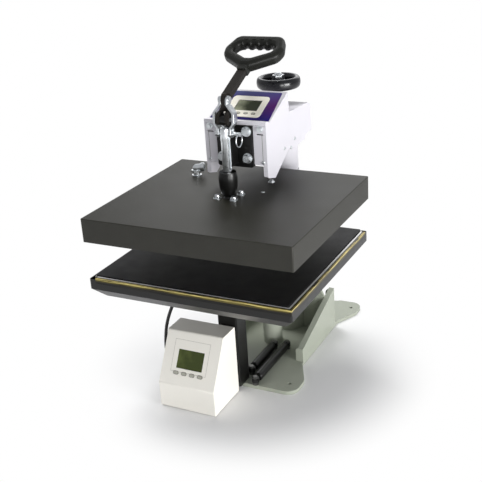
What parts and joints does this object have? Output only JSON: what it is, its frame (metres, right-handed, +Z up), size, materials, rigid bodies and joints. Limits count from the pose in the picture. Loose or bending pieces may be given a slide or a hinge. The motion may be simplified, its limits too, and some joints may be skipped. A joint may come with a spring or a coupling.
{
  "type": "swing-away heat press",
  "caption": "Swing-away transfer press with heated upper and lower platens, toggle handle with D grip, height wheel and two sloping control panels.",
  "frame": {"origin": "centre of the bench bolt pattern on the underside of the base plate", "axes": "+Z up, +X to the operator's right, +Y to the rear"},
  "size_m": [0.432, 0.5922, 0.6806],
  "materials": {
    "plate_coat": "satin powder coat, light grey-green",
    "head_coat": "satin powder coat, white",
    "cover_coat": "fine textured powder coat, dark grey",
    "black_coat": "semi-gloss powder coat, black",
    "zinc": "bright zinc plate",
    "ground_steel": "ground and polished",
    "cast_aluminium": "machined",
    "trim_aluminium": "bright anodised",
    "bronze": "sintered, oiled",
    "heater_sheath": "stainless sheath",
    "insulation": "ceramic fibre board",
    "pad_silicone": "matt silicone",
    "handle_plastic": "moulded, fine grained",
    "wheel_plastic": "phenolic, polished",
    "overlay_film": "printed film",
    "bezel_plastic": "moulded, smooth",
    "lcd_glass": "display window",
    "button_plastic": "moulded, smooth",
    "lead_pvc": "heat resistant sleeving",
    "gland_nylon": "nylon"
  },
  "bodies": {
    "base": {"base_plate": "plate_coat", "left_side_channel": "plate_coat", "right_side_channel": "plate_coat", "tower_webs": "plate_coat", "tower_tube": "plate_coat", "swing_bearings": "bronze", "pedestal": "black_coat", "rear_leg": "plate_coat", "lower_pan": "black_coat", "lower_heat_platen": "cast_aluminium", "lower_heater": "heater_sheath", "lower_insulation": "insulation", "lower_pad": "pad_silicone", "edge_trims": "trim_aluminium", "controller_case": "head_coat", "controller_lcd": "lcd_glass", "controller_lead": "lead_pvc", "lead_glands": "gland_nylon", "gas_dampers": "black_coat", "damper_studs": "zinc"},
    "post": {"swing_post": "ground_steel"},
    "head": {"post_sleeve": "head_coat", "arm": "black_coat", "arm_bolts": "zinc", "front_plate": "black_coat", "ram_sleeve": "zinc", "left_side_panel": "head_coat", "right_side_panel": "head_coat", "top_cover": "head_coat", "panel_overlay": "overlay_film", "panel_bezel": "bezel_plastic", "head_lcd": "lcd_glass", "flange_bolts": "zinc", "panel_screws": "zinc", "pivot_pin": "zinc"},
    "wheel": {"handwheel": "wheel_plastic", "adjusting_screw": "zinc"},
    "handle": {"handle_bar": "black_coat", "handle_grip": "handle_plastic", "upper_link_pin": "zinc"},
    "links": {"toggle_links": "zinc", "lower_link_bolts": "zinc"},
    "ram": {"ram_rod": "ground_steel", "ram_cup": "black_coat", "cup_bolts": "zinc", "upper_cover": "cover_coat", "upper_heat_platen": "cast_aluminium", "upper_heater": "heater_sheath", "upper_insulation": "insulation", "conduit_fitting": "zinc", "ram_cross_pin": "zinc"},
    "ring": {"pull_ring": "zinc"},
    "lower_key_1": {"controller_button_1": "button_plastic"},
    "head_key_1": {"head_button_1": "button_plastic"},
    "lower_key_2": {"controller_button_2": "button_plastic"},
    "head_key_2": {"head_button_2": "button_plastic"},
    "lower_key_3": {"controller_button_3": "button_plastic"},
    "head_key_3": {"head_button_3": "button_plastic"},
    "lower_key_4": {"controller_button_4": "button_plastic"},
    "head_key_4": {"head_button_4": "button_plastic"}
  },
  "joints": [
    {"name": "head_swing", "type": "hinge", "parent": "base", "child": "post", "pos_m": [0, 0.065, 0.3], "axis": [0, 0, 1], "range_deg": [-90, 90]},
    {"name": "head_lift", "type": "slide", "parent": "post", "child": "head", "axis": [0, 0, 1], "range_m": [0, 0.006]},
    {"name": "wheel_turn", "type": "hinge", "parent": "head", "child": "wheel", "pos_m": [0, 0.065, 0.573], "axis": [0, 0, 1], "range_deg": [0, 1081]},
    {"name": "handle_pull", "type": "hinge", "parent": "head", "child": "handle", "pos_m": [0, -0.185, 0.558], "axis": [1, 0, 0], "range_deg": [0, 162]},
    {"name": "link_turn", "type": "hinge", "parent": "handle", "child": "links", "pos_m": [0, -0.177, 0.594], "axis": [1, 0, 0], "range_deg": [-138, 0]},
    {"name": "ram_press", "type": "slide", "parent": "head", "child": "ram", "axis": [0, 0, -1], "range_m": [0, 0.0657]},
    {"name": "ring_swing", "type": "hinge", "parent": "links", "child": "ring", "pos_m": [0.029, -0.185, 0.531], "axis": [0, 1, 0], "range_deg": [-80, 15]},
    {"name": "lower_key_1_press", "type": "slide", "parent": "base", "child": "lower_key_1", "axis": [0, 0.8648, -0.5021], "range_m": [0, 0.0008], "stiffness_N_per_m": 400},
    {"name": "head_key_1_press", "type": "slide", "parent": "head", "child": "head_key_1", "axis": [0, 0.389, -0.9212], "range_m": [0, 0.0008], "stiffness_N_per_m": 400},
    {"name": "lower_key_2_press", "type": "slide", "parent": "base", "child": "lower_key_2", "axis": [0, 0.8648, -0.5021], "range_m": [0, 0.0008], "stiffness_N_per_m": 400},
    {"name": "head_key_2_press", "type": "slide", "parent": "head", "child": "head_key_2", "axis": [0, 0.389, -0.9212], "range_m": [0, 0.0008], "stiffness_N_per_m": 400},
    {"name": "lower_key_3_press", "type": "slide", "parent": "base", "child": "lower_key_3", "axis": [0, 0.8648, -0.5021], "range_m": [0, 0.0008], "stiffness_N_per_m": 400},
    {"name": "head_key_3_press", "type": "slide", "parent": "head", "child": "head_key_3", "axis": [0, 0.389, -0.9212], "range_m": [0, 0.0008], "stiffness_N_per_m": 400},
    {"name": "lower_key_4_press", "type": "slide", "parent": "base", "child": "lower_key_4", "axis": [0, 0.8648, -0.5021], "range_m": [0, 0.0008], "stiffness_N_per_m": 400},
    {"name": "head_key_4_press", "type": "slide", "parent": "head", "child": "head_key_4", "axis": [0, 0.389, -0.9212], "range_m": [0, 0.0008], "stiffness_N_per_m": 400}
  ],
  "couplings": [
    {"joint": "wheel_turn", "follows": "head_lift", "rad_per_m": 3141.6},
    {"joint": "link_turn", "follows": "handle_pull", "ratio": -0.8496},
    {"joint": "ram_press", "follows": "handle_pull", "m_per_rad": 0.023237}
  ]
}
